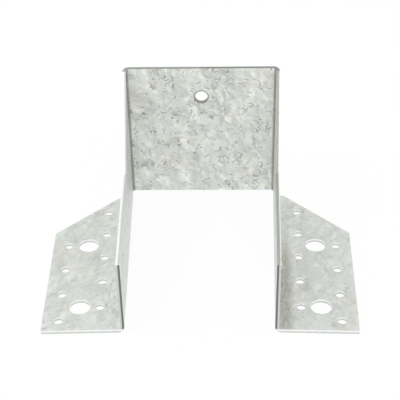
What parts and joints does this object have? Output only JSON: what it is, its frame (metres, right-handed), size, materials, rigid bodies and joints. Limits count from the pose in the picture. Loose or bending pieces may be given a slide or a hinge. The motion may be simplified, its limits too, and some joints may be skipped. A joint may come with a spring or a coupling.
{
  "type": "u bracket",
  "caption": "Folded galvanised joist hanger: a U of seat and side plates holds a beam's end, and drilled wings fasten it to a header or wall.",
  "frame": {"origin": "under the middle of the hanger's box, in the plane of the wings' backs", "axes": "+X across the hanger, +Y from the open end to the seat plate, +Z from the wings' backs to the seat's free edge"},
  "size_m": [0.1614, 0.1192, 0.0835],
  "materials": {
    "galvanised_sheet": "hot-dip galvanised sheet steel with a pale spangle"
  },
  "bodies": {
    "root": {"joist_hanger": "galvanised_sheet"}
  },
  "joints": []
}
